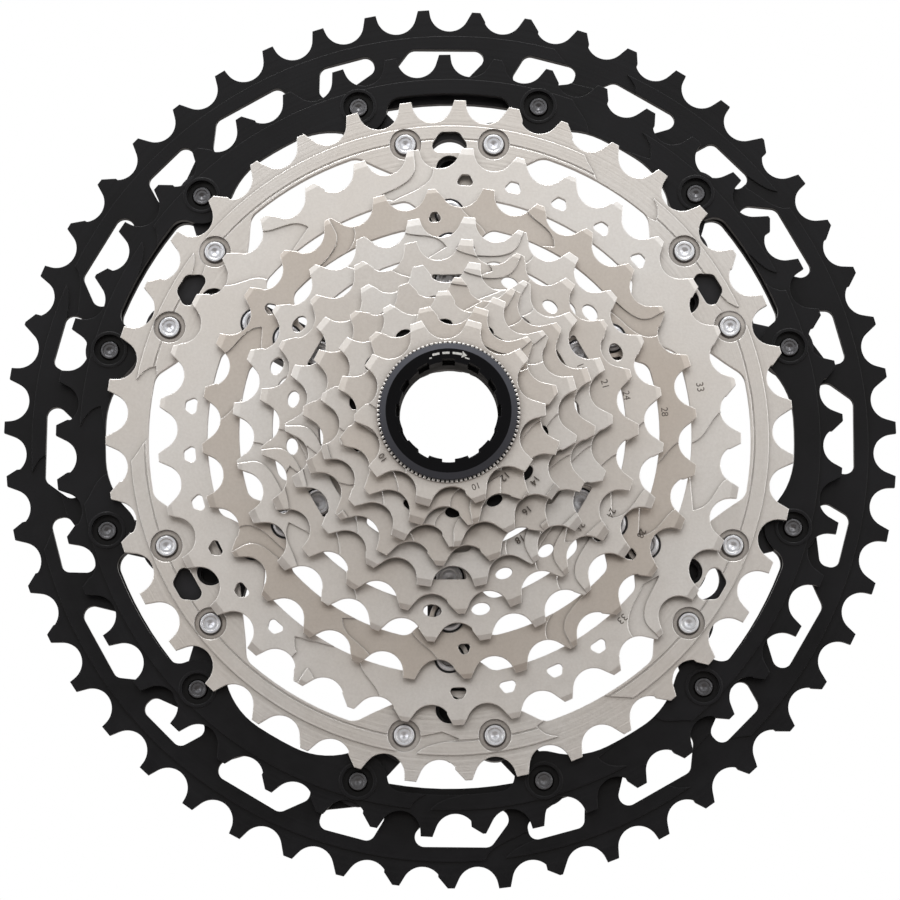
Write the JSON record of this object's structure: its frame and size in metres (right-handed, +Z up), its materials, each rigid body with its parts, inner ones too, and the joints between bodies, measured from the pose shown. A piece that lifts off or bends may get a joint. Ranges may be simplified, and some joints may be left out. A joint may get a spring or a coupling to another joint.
{
  "type": "bicycle cassette",
  "caption": "Stepped stack of toothed bicycle sprockets on a forked spider, with riveted large rings, loose splined small ones, spacers and a notched lock ring.",
  "frame": {"origin": "on the axle's line, in the rear face of the spider's hub, where the cassette meets the freehub's shoulder", "axes": "+Y along the axle towards the wheel, -Y towards the smallest sprocket and the lock ring, +Z up, +X to the right seen from the lock ring's side"},
  "size_m": [0.2092, 0.0439, 0.2085],
  "materials": {
    "black_alloy": "black anodised, satin",
    "nickel_alloy": "turned and nickel finished, satin",
    "nickel_steel": "nickel plated, satin",
    "spider_alloy": "black anodised, satin",
    "dark_rivet": "blackened",
    "bright_rivet": "zinc plated",
    "spacer_alloy": "dark anodised",
    "washer_steel": "bright",
    "ring_alloy": "black anodised, smooth"
  },
  "bodies": {
    "carrier": {"sprocket_51t": "black_alloy", "sprocket_45t": "black_alloy", "sprocket_39t": "nickel_alloy", "sprocket_33t": "nickel_steel", "sprocket_28t": "nickel_steel", "sprocket_24t": "nickel_steel", "spider": "spider_alloy", "rivets_51t_45t": "dark_rivet", "rivets_39t": "bright_rivet", "rivets_33t": "bright_rivet", "rivets_28t": "bright_rivet", "rivets_24t": "bright_rivet"},
    "loose_21t": {"sprocket_21t": "nickel_steel"},
    "loose_18t": {"spacer_21t_18t": "spacer_alloy", "sprocket_18t": "nickel_steel"},
    "loose_16t": {"spacer_18t_16t": "spacer_alloy", "sprocket_16t": "nickel_steel"},
    "loose_14t": {"spacer_16t_14t": "spacer_alloy", "sprocket_14t": "nickel_steel"},
    "loose_12t": {"spacer_14t_12t": "spacer_alloy", "sprocket_12t": "nickel_steel"},
    "loose_10t": {"spacer_12t_10t": "spacer_alloy", "sprocket_10t": "nickel_steel"},
    "lock_washer": {"lock_ring_washer": "washer_steel"},
    "lock_ring": {"lock_ring": "ring_alloy"}
  },
  "joints": [
    {"name": "slide_off_21t", "type": "slide", "parent": "carrier", "child": "loose_21t", "axis": [0, -1, 0], "range_m": [0, 0.01]},
    {"name": "slide_off_18t", "type": "slide", "parent": "loose_21t", "child": "loose_18t", "axis": [0, -1, 0], "range_m": [0, 0.01]},
    {"name": "slide_off_16t", "type": "slide", "parent": "loose_18t", "child": "loose_16t", "axis": [0, -1, 0], "range_m": [0, 0.01]},
    {"name": "slide_off_14t", "type": "slide", "parent": "loose_16t", "child": "loose_14t", "axis": [0, -1, 0], "range_m": [0, 0.01]},
    {"name": "slide_off_12t", "type": "slide", "parent": "loose_14t", "child": "loose_12t", "axis": [0, -1, 0], "range_m": [0, 0.01]},
    {"name": "slide_off_10t", "type": "slide", "parent": "loose_12t", "child": "loose_10t", "axis": [0, -1, 0], "range_m": [0, 0.01]},
    {"name": "lock_ring_travel", "type": "slide", "parent": "loose_10t", "child": "lock_washer", "axis": [0, -1, 0], "range_m": [0, 0.008]},
    {"name": "lock_ring_turn", "type": "hinge", "parent": "lock_washer", "child": "lock_ring", "pos_m": [0, 0, 0], "axis": [0, -1, 0], "range_deg": [0, 2880]}
  ],
  "couplings": [
    {"joint": "lock_ring_travel", "follows": "lock_ring_turn", "m_per_rad": 0.00015915}
  ]
}
